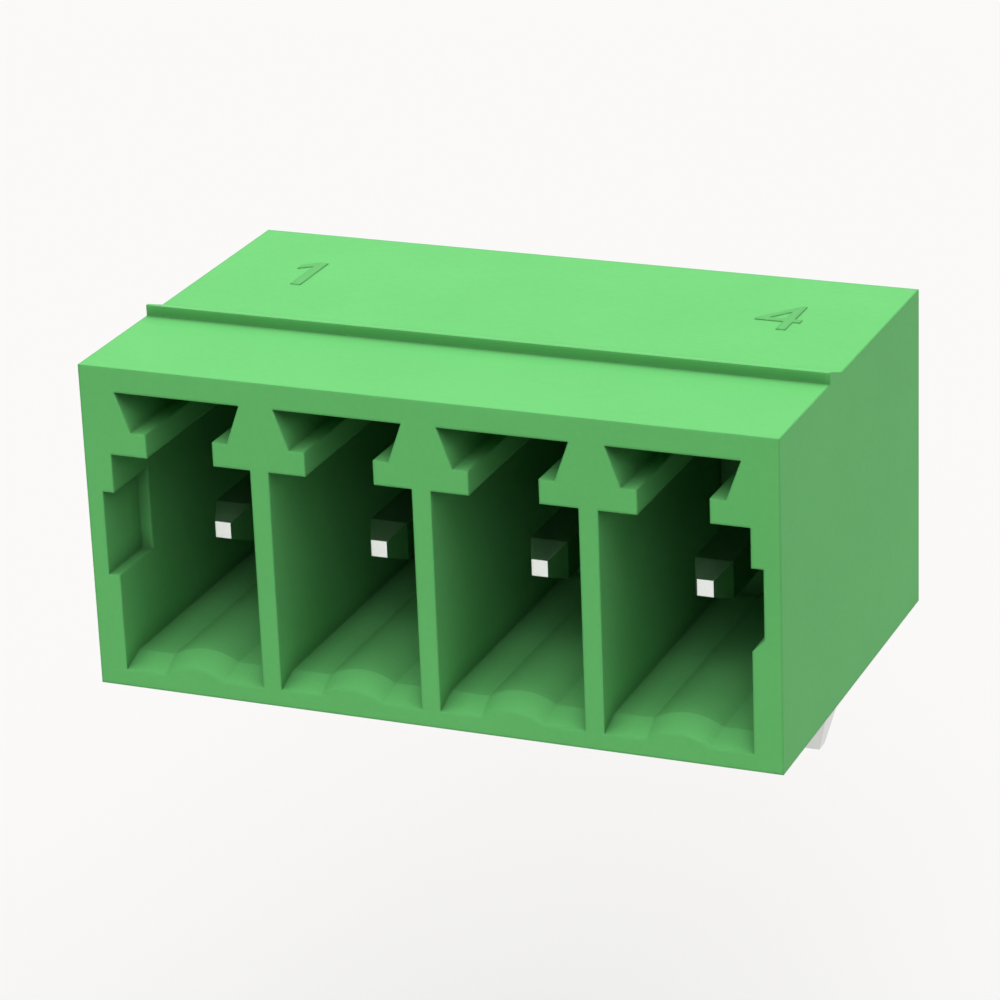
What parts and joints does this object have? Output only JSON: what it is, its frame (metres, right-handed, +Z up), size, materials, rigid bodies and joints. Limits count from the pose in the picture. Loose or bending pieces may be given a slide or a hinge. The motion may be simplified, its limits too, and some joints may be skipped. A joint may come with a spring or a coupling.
{
  "type": "pluggable terminal block socket",
  "caption": "Right-angle board socket with open plug chambers in a row, closed ends, a latching ridge on top and bent square pins that solder into a circuit board.",
  "frame": {"origin": "on the board, in the middle of the row of solder tails, at the level of the housing's underside", "axes": "+X along the row of contacts, +Y the way the plug goes in, +Z up from the board"},
  "size_m": [0.0148, 0.0091, 0.0106],
  "materials": {
    "housing_green": "moulded polyamide with a fine spark-eroded mould texture",
    "pin_tin": "satin tin plating over copper alloy"
  },
  "bodies": {
    "root": {"housing": "housing_green", "contact_pin_1": "pin_tin", "contact_pin_2": "pin_tin", "contact_pin_3": "pin_tin", "contact_pin_4": "pin_tin"}
  },
  "joints": []
}
